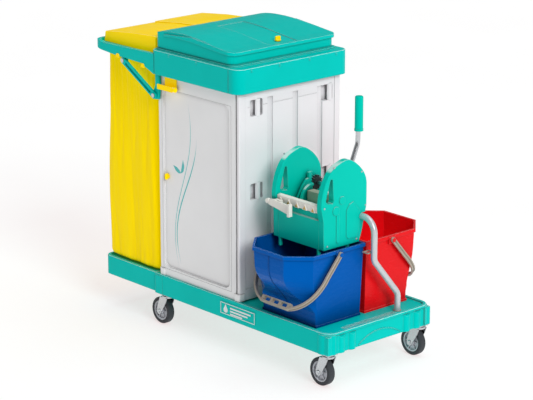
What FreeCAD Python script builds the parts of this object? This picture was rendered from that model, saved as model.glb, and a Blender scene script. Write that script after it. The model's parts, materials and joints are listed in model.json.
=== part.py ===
"""Housekeeping cart: wheeled base, locker with a lidded tray, folding-lid bag holder,
two pouring buckets and a lever wringer.

Millimetres, +Z up. Every x below runs from the bag end of the base (0) to the bucket end;
y is negative on the door side; z is 0 on the floor. save() moves the cart so that its
origin is on the floor in the middle of its length."""
import FreeCAD, Part
import math
import os

V = FreeCAD.Vector

# ---- driving dimensions -------------------------------------------------------------------
FIT = 0.05                 # radial clearance of a running fit
GAP = 0.4                  # gap between pieces that move past each other

BASE_END = 1217.0          # x of the base's bucket end
BASE_HALF = 250.0          # half width of the base
SKIRT_Z0 = 122.0
RIM_Z = 198.0              # top of the base's raised rim
DECK_Z = 192.0             # recessed deck that the buckets stand on
BASE_WALL = 5.0
PLATFORM_END = 300.0       # x where the bag platform meets the main base
BUMPER_DEPTH = 2.0         # how far the corner columns stand out at the bucket end
END_SINK = 7.0             # depth of the end wall behind the corner columns
END_RIBS = (-183.0, -132.0, 132.0, 183.0)

WHEEL_R = 50.0
RIM_R = 37.0
TREAD_W = 28.0
TRAIL = 28.0               # wheel axle behind the swivel axis
CASTER_X = (338.0, 1187.0)
CASTER_Y = 221.0

CAB_X0, CAB_X1 = 327.0, 757.0
CAB_HALF = 242.0
CAB_Z1 = 947.0
FRAME_T = 10.0             # thickness of the locker's door frame
PANEL_T = 6.0
WALL_T = 12.0              # the fluted wall that faces the buckets
CORNER_GAP = 5.0           # open joint between that wall and the door frame
FLUTE_Y = (-95.0, 24.0, 142.0)
FLUTE_DEPTH = 7.0
POCKET_DEPTH = 19.0
POCKET_END = 203.0         # no pocket reaches the corner post beyond this y
DOOR_X0, DOOR_X1 = 343.0, 716.0
DOOR_Z0, DOOR_Z1 = 226.0, 896.6
DOOR_BACK = 230.0
DOOR_GAP = 0.8
RECESS_X0, RECESS_X1 = 348.0, 707.0      # the door's sunk field
RECESS_Z0, RECESS_Z1 = 232.0, 895.0
RECESS_DEPTH = 8.0
RECESS_R = 28.0
HINGE_X, HINGE_Y = 711.0, -239.0
HINGE_R = 2.0
KEY_X, KEY_Z = 365.0, 574.0
SHELF_Z = (430.0, 680.0)

TRAY_X0, TRAY_X1 = 303.0, 778.0
TRAY_HALF = 263.0
TRAY_Z0, TRAY_Z1 = 947.0, 1034.0
TRAY_R = 35.0
LEDGE_Z = 1043.0           # collar that the tray's lid closes on
LID_X0, LID_X1 = 307.0, 726.0
LID_HALF = 243.0
LID_R = 30.0
LID_T = 4.0
LID_AXIS = (322.0, 1084.0)
BAND_HALF = 62.0           # half width of the lid's sunk middle band
LOCK_X = 690.0

LOOP_X0 = -25.0            # outer end of the bag-holder loop
LOOP_Z1 = 1020.0
LOOP_WALL = 12.0
LOOP_R = 45.0

COVER_X0, COVER_X1 = 8.0, 300.0
COVER_HALF = 232.0
COVER_Z0 = 1012.4
COVER_AXIS = (290.0, 1062.0)
COVER_SPLIT = 1.0          # half of the gap between the two cover halves

BUCKET_X = 988.5           # middle of both buckets and of the wringer
BUCKET_RIM = 455.0
LIP_H = 13.0
BAIL_V, BAIL_Z = 126.0, 440.0
BAIL_LENGTH = 242.0
BAIL_DROP = math.radians(41.0)   # resting bail's angle from straight down
BAIL_HALF = 157.0

WRINGER_HALF = 125.0
CHEEK_T = 24.0
WRINGER_FRONT = -177.0
WRINGER_Z0 = 455.5
SHAFT_Y, SHAFT_Z = -12.0, 622.0
SHAFT_R = 8.0
PINION_R = 24.0
LEVER_X = 1058.0
BLOCK_X = (940.0, 1024.0)  # ends of the pale pad on the press plate

TUBE_R = 11.0
TUBE_X = 1178.0
TUBE_TOP = 545.0

MIDDLE_X = (LOOP_X0 + BASE_END + BUMPER_DEPTH) / 2


# ---- shape helpers ------------------------------------------------------------------------
def save(name, shape):
    """Export one node, with the cart's origin in the middle of its length."""
    moved = shape.copy()
    moved.translate(V(-MIDDLE_X, 0, 0))
    moved.exportStep("parts/" + name + ".step")


def box(x0, x1, y0, y1, z0, z1):
    return Part.makeBox(x1 - x0, y1 - y0, z1 - z0, V(x0, y0, z0))


def fused(shapes):
    result = shapes[0].multiFuse(shapes[1:]) if len(shapes) > 1 else shapes[0]
    return result.removeSplitter()


def group(shapes):
    return Part.makeCompound(shapes)


def round_edges(shape, radius, keep):
    edges = [edge for edge in shape.Edges if keep(edge)]
    return shape.makeFillet(radius, edges)


def is_vertical(edge):
    box_ = edge.BoundBox
    return box_.XLength < 1e-3 and box_.YLength < 1e-3


def rounded_box(x0, x1, y0, y1, z0, z1, radius):
    """A box with its four upright edges rounded."""
    return round_edges(box(x0, x1, y0, y1, z0, z1), radius, is_vertical)


def tray_box(x0, x1, half, z0, z1, radius):
    return rounded_box(x0, x1, -half, half, z0, z1, radius)


def prism(points, axis, low, high):
    """Extrude a polygon given in the two axes other than `axis`, in x, y, z order."""
    place = {
        "x": lambda a, b: V(low, a, b),
        "y": lambda a, b: V(a, low, b),
        "z": lambda a, b: V(a, b, low),
    }[axis]
    along = {"x": V(1, 0, 0), "y": V(0, 1, 0), "z": V(0, 0, 1)}[axis]
    corners = [place(a, b) for a, b in points]
    face = Part.Face(Part.makePolygon(corners + corners[:1]))
    return face.extrude(along * (high - low))


def rod(axis, a, b, radius, low, high):
    """A cylinder along one axis; a and b are its centre in the other two axes."""
    start, along = {
        "x": (V(low, a, b), V(1, 0, 0)),
        "y": (V(a, low, b), V(0, 1, 0)),
        "z": (V(a, b, low), V(0, 0, 1)),
    }[axis]
    return Part.makeCylinder(radius, high - low, start, along)


def ring(axis, a, b, outer, inner, low, high):
    return rod(axis, a, b, outer, low, high).cut(rod(axis, a, b, inner, low - 1, high + 1))


def slot_shape(axis, a0, b0, a1, b1, radius, low, high):
    """Two rods of one radius and all that lies between them."""
    length = math.hypot(a1 - a0, b1 - b0)
    da, db = -(b1 - b0) / length * radius, (a1 - a0) / length * radius
    sides = [(a0 + da, b0 + db), (a1 + da, b1 + db), (a1 - da, b1 - db), (a0 - da, b0 - db)]
    ends = [rod(axis, a0, b0, radius, low, high), rod(axis, a1, b1, radius, low, high)]
    return fused([prism(sides, axis, low, high)] + ends)


def bent_wire(points, radii):
    """Straight runs joined by tangent arcs, one radius per inner point."""
    edges = []
    start = points[0]
    for before, corner, after, radius in zip(points, points[1:], points[2:], radii):
        back = (before - corner).normalize()
        ahead = (after - corner).normalize()
        half_angle = back.getAngle(ahead) / 2
        reach = radius / math.tan(half_angle)
        first, last = corner + back * reach, corner + ahead * reach
        bisector = (back + ahead).normalize()
        middle = corner + bisector * (radius / math.sin(half_angle) - radius)
        edges.append(Part.LineSegment(start, first).toShape())
        edges.append(Part.Arc(first, middle, last).toShape())
        start = last
    edges.append(Part.LineSegment(start, points[-1]).toShape())
    return Part.Wire(edges)


def swept_rod(points, radii, radius):
    path = bent_wire(points, radii)
    circle = Part.makeCircle(radius, points[0], points[1] - points[0])
    return path.makePipeShell([Part.Wire([circle])], True, False)


def bent_tube(points, radii, outer, inner):
    return swept_rod(points, radii, outer).cut(swept_rod(points, radii, inner))


def mirror_y(shape):
    return shape.mirror(V(0, 0, 0), V(0, 1, 0))


# ---- base ---------------------------------------------------------------------------------
def base_skin(x0, x1, half, z0, end_radius, end_x):
    """The outer form of a skirted platform, with its raised rim and sunk deck."""
    body = box(x0, x1, -half, half, z0, RIM_Z)
    ends = lambda e: is_vertical(e) and abs(e.BoundBox.XMin - end_x) < 1e-3
    body = round_edges(body, end_radius, ends)
    body = round_edges(body, 3.0, lambda e: abs(e.BoundBox.ZMin - RIM_Z) < 1e-3 and e.BoundBox.ZLength < 1e-3)
    return body.cut(tray_box(x0 + 12, x1 - 12, half - 12, DECK_Z, RIM_Z + 1, end_radius - 12))


def bucket_end():
    """The moulded bucket end: corner columns and four upright ribs, to join to the skin."""
    top = RIM_Z - 6
    wide = rounded_box(BASE_END - 90, BASE_END + BUMPER_DEPTH, -BASE_HALF - 1.5, BASE_HALF + 1.5, SKIRT_Z0, top, 44.0)
    columns = [wide.common(box(BASE_END - 50, BASE_END + 5, *sorted((side * 216, side * 260)), SKIRT_Z0, top))
               for side in (-1, 1)]
    ribs = []
    for y in END_RIBS:
        rib = rod("z", BASE_END + BUMPER_DEPTH - 20, y, 20.0, SKIRT_Z0, RIM_Z - 12)
        ribs.append(rib.common(box(BASE_END - 9, BASE_END + 5, y - 20, y + 20, SKIRT_Z0, RIM_Z)))
    slope = prism([(BASE_END - END_SINK, RIM_Z - 11), (BASE_END + 5, RIM_Z - 24), (BASE_END + 5, RIM_Z)],
                  "y", -BASE_HALF + 40, BASE_HALF - 40)
    return columns + [rib.cut(slope) for rib in ribs]


def end_arch(radius_in, low, high):
    """The shallow arch of the end wall between two planes across x."""
    arch = Part.Arc(V(low, -104 + radius_in, 127), V(low, 0, 162 - radius_in), V(low, 104 - radius_in, 127))
    chord = Part.LineSegment(V(low, 104 - radius_in, 127), V(low, -104 + radius_in, 127))
    return Part.Face(Part.Wire([arch.toShape(), chord.toShape()])).extrude(V(high - low, 0, 0))


def base_main():
    body = base_skin(PLATFORM_END + 0.5, BASE_END, BASE_HALF, SKIRT_Z0, 45.0, BASE_END)
    body = body.cut(box(BASE_END - END_SINK, BASE_END + 1, -214, 214, SKIRT_Z0 - 1, RIM_Z - 8))
    wall = BASE_END - END_SINK
    arch_lip = end_arch(0.0, wall - 1, wall + 2.2).cut(end_arch(3.4, wall - 2, wall + 3))
    parts = [body, arch_lip] + bucket_end()
    for side in (-1, 1):
        low, high = sorted((side * (BASE_HALF - 2), side * (BASE_HALF + 1.5)))
        parts.append(box(PLATFORM_END + 3, PLATFORM_END + 42, low, high, SKIRT_Z0, RIM_Z - 6))
    body = fused(parts)
    under = tray_box(PLATFORM_END + 0.5 + BASE_WALL, BASE_END - 10, BASE_HALF - BASE_WALL, SKIRT_Z0 - 1, DECK_Z - 6, 38.0)
    body = body.cut(under)
    for k in range(6):
        x = BASE_END - 17 - 5 * k
        body = body.cut(box(x - 2.4, x, -150, 100, DECK_Z - 1.2, DECK_Z + 1))
    pads = []
    for x in CASTER_X:
        for side in (-1, 1):
            y = side * CASTER_Y
            pads.append(box(x - 27, x + 26, min(y - 26, y + 26), max(y - 26, y + 26), SKIRT_Z0, DECK_Z - 5))
    return fused([body] + pads)


def bag_platform():
    end = PLATFORM_END
    body = base_skin(0.0, end, BASE_HALF - 2, SKIRT_Z0 + 4, 30.0, 0.0)
    under = tray_box(BASE_WALL, end - BASE_WALL, BASE_HALF - 2 - BASE_WALL, SKIRT_Z0 + 3, DECK_Z - 6, 25.0)
    tabs = [box(end - 40, end - 4, y - 20, y + 20, SKIRT_Z0 + 30, DECK_Z - 5) for y in (-150, 150)]
    return fused([body.cut(under)] + tabs)


def label_plate():
    plate = box(664, 850, -BASE_HALF - 1.4, -BASE_HALF, 136, 184)
    plate = round_edges(plate, 5.0, lambda e: e.BoundBox.YLength > 1 and e.BoundBox.XLength < 1e-3)
    frame = box(670, 844, -BASE_HALF - 3, -BASE_HALF - 0.9, 142, 178)
    return plate.cut(frame)


# ---- casters ------------------------------------------------------------------------------
def caster_places():
    return [(x, side * CASTER_Y) for x in CASTER_X for side in (-1, 1)]


def caster_plate(x, y):
    plate = rounded_box(x - 26, x + 26, y - 25, y + 25, SKIRT_Z0 - 3, SKIRT_Z0, 6.0)
    screws = [rod("z", x + dx, y + dy, 4.5, SKIRT_Z0 - 5.5, SKIRT_Z0 - 2) for dx in (-19, 19) for dy in (-18, 18)]
    raceway = Part.makeCone(18, 23, 6, V(x, y, SKIRT_Z0 - 9))
    kingpin = rod("z", x, y, 5.0, 104, SKIRT_Z0 - 5)
    head = rod("z", x, y, 8.0, 102, 105.6)
    return fused([plate, raceway, kingpin, head] + screws)


def caster_fork(x, y):
    axle_x = x - TRAIL
    crown = rod("z", x, y, 22.0, 106, 112.6)
    outline = [(x - 21, 108), (x + 17, 108), (x + 8, 84), (axle_x + 11, 44), (axle_x + 4, 38),
               (axle_x - 6, 38), (axle_x - 11, 46), (axle_x - 10, 62)]
    legs = [prism(outline, "y", y + s * 19.5 - 1.5, y + s * 19.5 + 1.5) for s in (-1, 1)]
    body = fused([crown] + legs)
    body = body.cut(rod("z", x, y, 5.0 + FIT, 100, 116))
    return fused([body, caster_axle(x, y)])


def caster_axle(x, y):
    """The riveted axle, which is one piece with its fork."""
    axle_x = x - TRAIL
    bolt = rod("y", axle_x, WHEEL_R, 4.0, y - 24, y + 24)
    hexagon = [(axle_x + 7.5 * math.cos(math.radians(a)), WHEEL_R + 7.5 * math.sin(math.radians(a)))
               for a in range(0, 360, 60)]
    head = prism(hexagon, "y", y - 25.5, y - 21)
    nut = prism(hexagon, "y", y + 21, y + 25.5)
    return fused([bolt, head, nut])


def wheel_disc(x, y):
    axle_x = x - TRAIL
    hub = rod("y", axle_x, WHEEL_R, 12.0, y - 16.5, y + 16.5)
    web = rod("y", axle_x, WHEEL_R, RIM_R, y - 4, y + 4)
    rim = ring("y", axle_x, WHEEL_R, RIM_R, RIM_R - 5, y - 12, y + 12)
    spokes = [box(axle_x + 10, axle_x + RIM_R - 3, y - 8, y + 8, WHEEL_R - 1.5, WHEEL_R + 1.5) for _ in range(6)]
    for i, spoke in enumerate(spokes):
        spoke.rotate(V(axle_x, y, WHEEL_R), V(0, 1, 0), 60 * i)
    return fused([hub, web, rim] + spokes).cut(rod("y", axle_x, WHEEL_R, 4.0 + FIT, y - 30, y + 30))


def tyre(x, y):
    axle_x = x - TRAIL
    half = TREAD_W / 2
    body = ring("y", axle_x, WHEEL_R, WHEEL_R, RIM_R, y - half, y + half)
    crown = lambda e: abs(e.BoundBox.ZLength - 2 * WHEEL_R) < 1e-3 and e.BoundBox.YLength < 1e-3
    return round_edges(body, 6.0, crown)


# ---- locker -------------------------------------------------------------------------------
def corner_places():
    return [(x, y) for x in (CAB_X0, CAB_X1) for y in (-CAB_HALF, CAB_HALF)]


def foot_block(x, y, grow):
    """The clip-on foot that wraps one lower corner of the locker."""
    inward_x = 1 if x == CAB_X0 else -1
    inward_y = 1 if y < 0 else -1
    xs = sorted((x - inward_x * (3 + grow), x + inward_x * (26 + grow)))
    ys = sorted((y - inward_y * (3 + grow), y + inward_y * (26 + grow)))
    return rounded_box(xs[0], xs[1], ys[0], ys[1], RIM_Z - grow, RIM_Z + 26 + grow, 5.0)


def corner_post(x, y):
    inward_x = 1 if x == CAB_X0 else -1
    inward_y = 1 if y < 0 else -1
    xs = sorted((x + inward_x * (WALL_T + 1.5), x + inward_x * 34))
    ys = sorted((y + inward_y * (FRAME_T + 7), y + inward_y * 36))
    post = box(xs[0], xs[1], ys[0], ys[1], RIM_Z + 20, CAB_Z1)
    return fused([post, foot_block(x, y, 0.0)])


def without_feet(panel):
    for x, y in corner_places():
        panel = panel.cut(foot_block(x, y, 0.3))
    return panel


def door_frame():
    front = box(CAB_X0, CAB_X1 - WALL_T - CORNER_GAP, -CAB_HALF, -CAB_HALF + FRAME_T, RIM_Z, CAB_Z1)
    opening = box(DOOR_X0 - DOOR_GAP, DOOR_X1 + 1.0, -CAB_HALF - 1, -CAB_HALF + FRAME_T + 1,
                  DOOR_Z0 - DOOR_GAP, DOOR_Z1 + DOOR_GAP)
    opening = round_edges(opening, 5.0, lambda e: e.BoundBox.YLength > 5)
    pivots = rod("z", HINGE_X, HINGE_Y, HINGE_R + FIT, DOOR_Z0 - 13, DOOR_Z1 + 13)
    return without_feet(front.cut(opening).cut(pivots))


def door():
    """A slab flush with its frame, with a large sunk field."""
    slab = box(DOOR_X0, DOOR_X1, -CAB_HALF, -DOOR_BACK, DOOR_Z0, DOOR_Z1)
    slab = round_edges(slab, 4.5, lambda e: e.BoundBox.YLength > 5)
    field = box(RECESS_X0, RECESS_X1, -CAB_HALF - 1, -CAB_HALF + RECESS_DEPTH, RECESS_Z0, RECESS_Z1)
    field = round_edges(field, RECESS_R, lambda e: e.BoundBox.YLength > 5)
    field = round_edges(field, 3.0, lambda e: e.BoundBox.YMin > -CAB_HALF + RECESS_DEPTH - 0.01)
    keyhole = rod("y", KEY_X, KEY_Z, 5.0 + FIT, -CAB_HALF - 1, -DOOR_BACK + 1)
    return slab.cut(field).cut(keyhole).cut(door_pins())


def door_pins():
    """The two pivots, pressed into the door's ends and turning in the frame."""
    lower = rod("z", HINGE_X, HINGE_Y, HINGE_R, DOOR_Z0 - 12, DOOR_Z0 + 14)
    upper = rod("z", HINGE_X, HINGE_Y, HINGE_R, DOOR_Z1 - 14, DOOR_Z1 + 12)
    return group([lower, upper])


def door_key():
    face = -CAB_HALF + RECESS_DEPTH
    barrel = rod("y", KEY_X, KEY_Z, 5.0, face - 5, -DOOR_BACK + 4)
    collar = rod("y", KEY_X, KEY_Z, 9.0, face - 4, face - 0.1)
    bow = box(KEY_X - 2.5, KEY_X + 2.5, face - 15, face - 3, KEY_Z - 11, KEY_Z + 11)
    bow = round_edges(bow, 5.0, lambda e: e.BoundBox.XLength > 4 and e.BoundBox.YMin < face - 14.9)
    cam = box(KEY_X - 6, KEY_X + 6, -DOOR_BACK + 1.5, -DOOR_BACK + 4.5, KEY_Z - 6, KEY_Z + 30)
    return fused([barrel, collar, bow, cam])


def pocket_places():
    """Hand pockets of the fluted wall: middle y and z."""
    return [(y, z) for y in (-159.0, 183.0) for z in (886.0, 587.0)]


def fluted_panel():
    """The wall that faces the buckets: rounded columns, flutes and strapped pockets."""
    face = CAB_X1 - 2
    wall = box(CAB_X1 - WALL_T, CAB_X1, -CAB_HALF + 2, CAB_HALF - 2, RIM_Z, CAB_Z1)
    wall = round_edges(wall, 5.0, lambda e: is_vertical(e) and e.BoundBox.XMin > CAB_X1 - 1)
    wall = wall.cut(box(face, CAB_X1 + 1, -213, 213, RIM_Z + 40, CAB_Z1 + 1))
    for y in FLUTE_Y:
        flute = box(face - FLUTE_DEPTH, CAB_X1 + 1, y - 13, y + 13, RIM_Z + 70, CAB_Z1 - 32)
        wall = wall.cut(round_edges(flute, 4.0, lambda e: is_vertical(e) and e.BoundBox.XMax < face))
    ledges = [(-213, FLUTE_Y[0]), (FLUTE_Y[0], FLUTE_Y[1]), (FLUTE_Y[1], FLUTE_Y[2]), (FLUTE_Y[2], 213)]
    for low, high in ledges:
        wall = wall.cut(box(face - 1, CAB_X1 + 1, low + 14, high - 14, CAB_Z1 - 56, CAB_Z1 - 53))
    for y, z in pocket_places():
        end = min(y + 29, POCKET_END)
        cup = box(face - POCKET_DEPTH - 3, CAB_X1 - WALL_T + 1, y - 31, end + 2, z - 31, z + 31)
        pocket = box(face - POCKET_DEPTH, CAB_X1 + 1, y - 29, end, z - 29, z + 29)
        wall = fused([wall, cup]).cut(round_edges(pocket, 6.0, lambda e: e.BoundBox.XLength > 5))
        strap = rod("z", face - 9, y + 10, 12.0, z - 31, z + 31).common(box(face - 6, face + 5, y - 30, y + 30, 0, 1000))
        wall = fused([wall, strap])
    return without_feet(wall)


def bag_side_panel():
    wall = box(CAB_X0, CAB_X0 + PANEL_T, -CAB_HALF + FRAME_T + 0.5, CAB_HALF - PANEL_T - 0.5, RIM_Z, CAB_Z1)
    return without_feet(wall)


def rear_panel():
    wall = box(CAB_X0, CAB_X1 - WALL_T - 2, CAB_HALF - PANEL_T, CAB_HALF, RIM_Z, CAB_Z1)
    return without_feet(wall)


def locker_board(z, thickness):
    """A floor or shelf that fits between the walls and round the four posts."""
    board = box(CAB_X0 + PANEL_T, CAB_X1 - WALL_T, -CAB_HALF + 15, CAB_HALF - PANEL_T, z, z + thickness)
    for x, y in corner_places():
        inward_x = 1 if x == CAB_X0 else -1
        inward_y = 1 if y < 0 else -1
        xs = sorted((x - inward_x * 5, x + inward_x * 34.3))
        ys = sorted((y - inward_y * 5, y + inward_y * 36.3))
        board = board.cut(box(xs[0], xs[1], ys[0], ys[1], z - 1, z + thickness + 1))
    return board


def shelf(z):
    rim = 14.0
    board = locker_board(z, rim)
    dish = rounded_box(CAB_X0 + PANEL_T + 36, CAB_X1 - WALL_T - 36, 42 - CAB_HALF, CAB_HALF - 42, z + 3, z + rim + 1, 12.0)
    return board.cut(dish)


# ---- tray and its lid ---------------------------------------------------------------------
def ear_places():
    return (-150.0, 150.0)


def top_tray():
    body = tray_box(TRAY_X0, TRAY_X1, TRAY_HALF, TRAY_Z0, TRAY_Z1, TRAY_R)
    top_ring = lambda e: abs(e.BoundBox.ZMin - TRAY_Z1) < 1e-3 and e.BoundBox.ZLength < 1e-3
    body = round_edges(body, 3.0, top_ring)
    collar = tray_box(TRAY_X0 + 8, TRAY_X1 - 40, TRAY_HALF - 15, TRAY_Z1 - 2, LEDGE_Z - 4, TRAY_R - 8)
    seat = tray_box(LID_X0 + 2, LID_X1 - 2, LID_HALF - 2, LEDGE_Z - 6, LEDGE_Z - GAP, LID_R - 2)
    body = fused([body, collar, seat])
    well = tray_box(TRAY_X0 + 32, LID_X1 - 12, LID_HALF - 14, TRAY_Z0 + 5, LEDGE_Z + 1, LID_R - 8)
    under = tray_box(TRAY_X0 + 4, TRAY_X1 - 4, TRAY_HALF - 4, TRAY_Z0 - 1, TRAY_Z1 - 5, TRAY_R - 4)
    well_wall = tray_box(TRAY_X0 + 28, LID_X1 - 8, LID_HALF - 10, TRAY_Z0 - 2, TRAY_Z1, LID_R - 4)
    body = body.cut(under.cut(well_wall)).cut(well)
    floor_skirt = box(CAB_X0 + 12, CAB_X1 - 14, -CAB_HALF + 16, CAB_HALF - 12, TRAY_Z0, TRAY_Z0 + 5)
    ears = [hinge_ear(LID_AXIS, y, 1) for y in ear_places()] + [hinge_ear(COVER_AXIS, y, -1) for y in cover_ears()]
    pips = []
    for x in (410.0, 560.0):
        for side in (-1, 1):
            low, high = sorted((side * (TRAY_HALF - 1), side * (TRAY_HALF + 2)))
            pips.append(rod("y", x, TRAY_Z1 - 9, 4.5, low, high))
    for y in (-200.0, -70.0, 70.0, 200.0):
        pips.append(rod("x", y, TRAY_Z1 - 9, 4.5, TRAY_X1 - 1, TRAY_X1 + 2))
    body = fused([body, floor_skirt] + ears + pips)
    for x, z in (LID_AXIS, COVER_AXIS):
        body = body.cut(rod("y", x, z, 3.0, -TRAY_HALF, TRAY_HALF))
    for side in (-1, 1):
        low, high = sorted((side * (TRAY_HALF - 1.6), side * (TRAY_HALF + 2)))
        body = body.cut(box(TRAY_X1 - 53, TRAY_X1 - 50, low, high, TRAY_Z0 - 1, TRAY_Z1 - 4))
    return body


def lid_keeper():
    """A bracket on the tray's ledge and the plate on it that the lid's cam turns under."""
    z = LEDGE_Z - GAP
    bracket = prism([(712, z), (721, z), (721, z + 3), (717, z + 3), (717, 1074), (712, 1074)], "y", -13, 13)
    return group([bracket, box(701, 717, -13, 13, 1074, 1079)])


def hinge_ear(axis, y, kind):
    """An upright ear of the tray that carries a hinge rod: 1 for the lid, -1 for the bag covers."""
    x, z = axis
    round_top = rod("y", x, z, 6.0, y - 4, y + 4)
    if kind > 0:
        stem = box(x - 6, x + 6, y - 4, y + 4, LEDGE_Z - 8, z)
    else:
        outline = [(x - 6, z), (x - 6, TRAY_Z1 - 12), (TRAY_X0 + 3, TRAY_Z1 - 20), (TRAY_X0 + 3, TRAY_Z1 - 6),
                   (x + 6, TRAY_Z1 - 4), (x + 6, z)]
        stem = prism(outline, "y", y - 4, y + 4)
    return fused([round_top, stem])


def swing_relief(end, axis_x, z, rise, half):
    """The wedge to take from a lid's lower edge behind its hinge, so that it swings clear."""
    out = math.copysign(1.0, end - axis_x)
    return prism([(axis_x, z - 2), (axis_x, z), (end, z + rise), (end + out, z + rise), (end + out, z - 2)],
                 "y", -half, half)


def lid_solid(inset, z_low):
    """The lid's outer form, or with an inset its inner form: high at the hinge, low at the lock."""
    x0, x1 = LID_X0 + inset, LID_X1 - inset
    drop = inset
    top = [V(x0, 0, 1091 - drop), V(355, 0, 1103 - drop), V(430, 0, 1109 - drop), V(520, 0, 1107 - drop),
           V(620, 0, 1096 - drop), V(690, 0, 1088 - drop), V(x1, 0, 1085 - drop)]
    curve = Part.BSplineCurve()
    curve.interpolate(top)
    edges = [curve.toShape(), Part.makeLine(top[-1], V(x1, 0, z_low)),
             Part.makeLine(V(x1, 0, z_low), V(x0, 0, z_low)), Part.makeLine(V(x0, 0, z_low), top[0])]
    half = LID_HALF - inset
    face = Part.Face(Part.Wire(edges))
    face.translate(V(0, -half, 0))
    body = face.extrude(V(0, 2 * half, 0))
    return body.common(tray_box(x0, x1, half, z_low, 1200, LID_R - inset))


def tray_lid():
    outer = lid_solid(0.0, LEDGE_Z)
    lip = tray_box(LID_X0 + 40, LID_X1 + 8, LID_HALF + 6, 1072, 1200, LID_R + 4)
    lip_form = prism([(LID_X0 + 40, 1086), (430, 1091), (520, 1089), (620, 1080), (690, 1074), (LID_X1 + 8, 1073),
                      (LID_X1 + 8, 1084.5), (690, 1088), (620, 1096), (520, 1106), (LID_X0 + 40, 1093)],
                     "y", -LID_HALF - 6, LID_HALF + 6)
    outer = fused([outer, lip.common(lip_form)])
    sunk = lid_solid(2.0, 1070).common(box(440, LID_X1 + 20, -BAND_HALF, BAND_HALF, 1000, 1200))
    band = box(440, LID_X1 + 20, -BAND_HALF, BAND_HALF, 1070, 1200).cut(sunk)
    inner = lid_solid(LID_T, LEDGE_Z - 5)
    body = outer.cut(inner)
    groove = outer.common(band).common(box(440, LID_X1 - 4, -BAND_HALF, BAND_HALF, 1070, 1200))
    body = body.cut(groove)
    lugs = []
    for y in ear_places():
        for offset in (-9.5, 9.5):
            lug = box(LID_X0 + 1, LID_AXIS[0] + 8, y + offset - 3, y + offset + 3, LID_AXIS[1] - 8, 1100)
            lugs.append(lug.common(lid_solid(1.0, LEDGE_Z)))
        body = body.cut(box(LID_X0 - 1, LID_X0 + 13, y - 5, y + 5, LEDGE_Z - 2, LID_AXIS[1] + 7.0))
    body = fused([body] + lugs).cut(swing_relief(LID_X0, LID_AXIS[0], LEDGE_Z, 3.6, LID_HALF + 8))
    for y in ear_places():
        body = body.cut(rod("y", LID_AXIS[0], LID_AXIS[1], 3.0 + FIT, y - 20, y + 20))
    return body.cut(rod("z", LOCK_X, 0, 5.0 + FIT, 1060, 1120))


def hinge_rod(axis, half):
    return rod("y", axis[0], axis[1], 3.0, -half, half)


def lid_lock():
    """The knob in the lid, with the cam plate on the end of its barrel."""
    top = 1088.6
    barrel = rod("z", LOCK_X, 0, 5.0, 1071, top + 4)
    collar = rod("z", LOCK_X, 0, 11.0, top, top + 4)
    bow = box(LOCK_X - 2.5, LOCK_X + 2.5, -11, 11, top + 2, top + 16)
    bow = round_edges(bow, 5.0, lambda e: e.BoundBox.XLength > 4 and e.BoundBox.ZMin > top + 15.9)
    cam = box(LOCK_X - 5, LOCK_X + 5, -5, 20, 1068, 1071)
    return group([fused([barrel, collar, bow]), cam])


# ---- bag holder ---------------------------------------------------------------------------
def bag_loop():
    """The U-shaped holder that leaves the tray and carries the bag and its covers."""
    end = TRAY_X0 + 22
    outer = box(LOOP_X0, end, -TRAY_HALF, TRAY_HALF, 940, LOOP_Z1)
    outer = round_edges(outer, LOOP_R, lambda e: is_vertical(e) and e.BoundBox.XMin < LOOP_X0 + 1)
    inner = box(LOOP_X0 + LOOP_WALL, end + 1, LOOP_WALL - TRAY_HALF, TRAY_HALF - LOOP_WALL, 930, LOOP_Z1 + 1)
    inner = round_edges(inner, LOOP_R - LOOP_WALL, lambda e: is_vertical(e) and e.BoundBox.XMin < LOOP_X0 + 20)
    loop = outer.cut(inner)
    side_view = [(LOOP_X0 - 1, 1003), (LOOP_X0 + 8, 994), (26, 987), (110, 980), (262, 975), (277, 965),
                 (end + 1, 946), (end + 1, LOOP_Z1 + 1), (40, LOOP_Z1 - 5), (10, LOOP_Z1 + 1), (LOOP_X0 - 1, LOOP_Z1 + 1)]
    shaped = loop.common(prism(side_view, "y", -TRAY_HALF - 1, TRAY_HALF + 1))
    ledge = box(6, TRAY_X0 - 0.5, LOOP_WALL / 2 - TRAY_HALF, TRAY_HALF - LOOP_WALL / 2, 1004, 1012)
    ledge = ledge.cut(box(15, TRAY_X0 - 11, -228, 228, 1000, 1015))
    pin_x, pin_z = strut_ends()[0]
    lugs = [box(pin_x - 10, pin_x + 10, *sorted((side * (TRAY_HALF - 19), side * (TRAY_HALF - 9))), pin_z - 11, 990)
            for side in (-1, 1)]
    tray_space = tray_box(TRAY_X0 - 0.2, TRAY_X1, TRAY_HALF + 0.2, 900, TRAY_Z1 + 1, TRAY_R + 0.2)
    holder = fused([shaped, ledge] + lugs).cut(tray_space)
    return holder.cut(rod("y", pin_x, pin_z, 4.0, -TRAY_HALF, TRAY_HALF))


def strut_ends():
    """Centres of a strut's two pins, at the loop and at the post."""
    return (150.0, 967.0), (322.0, 868.0)


def strut(side):
    (x0, z0), (x1, z1) = strut_ends()
    low, high = sorted((side * (TRAY_HALF + 0.5), side * (TRAY_HALF - 8.5)))
    bar = slot_shape("y", x0, z0, x1, z1, 11.0, low, high)
    ux, uz = (x1 - x0), (z1 - z0)
    length = math.hypot(ux, uz)
    ux, uz = ux / length, uz / length
    groove = sorted((side * (TRAY_HALF + 2), side * (TRAY_HALF - 3.5)))
    bar = bar.cut(slot_shape("y", x0 + ux * 22, z0 + uz * 22, x1 - ux * 22, z1 - uz * 22, 5.0, *groove))
    for x, z in strut_ends():
        bar = bar.cut(rod("y", x, z, 4.0, low - 1, high + 1))
    return bar


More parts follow.
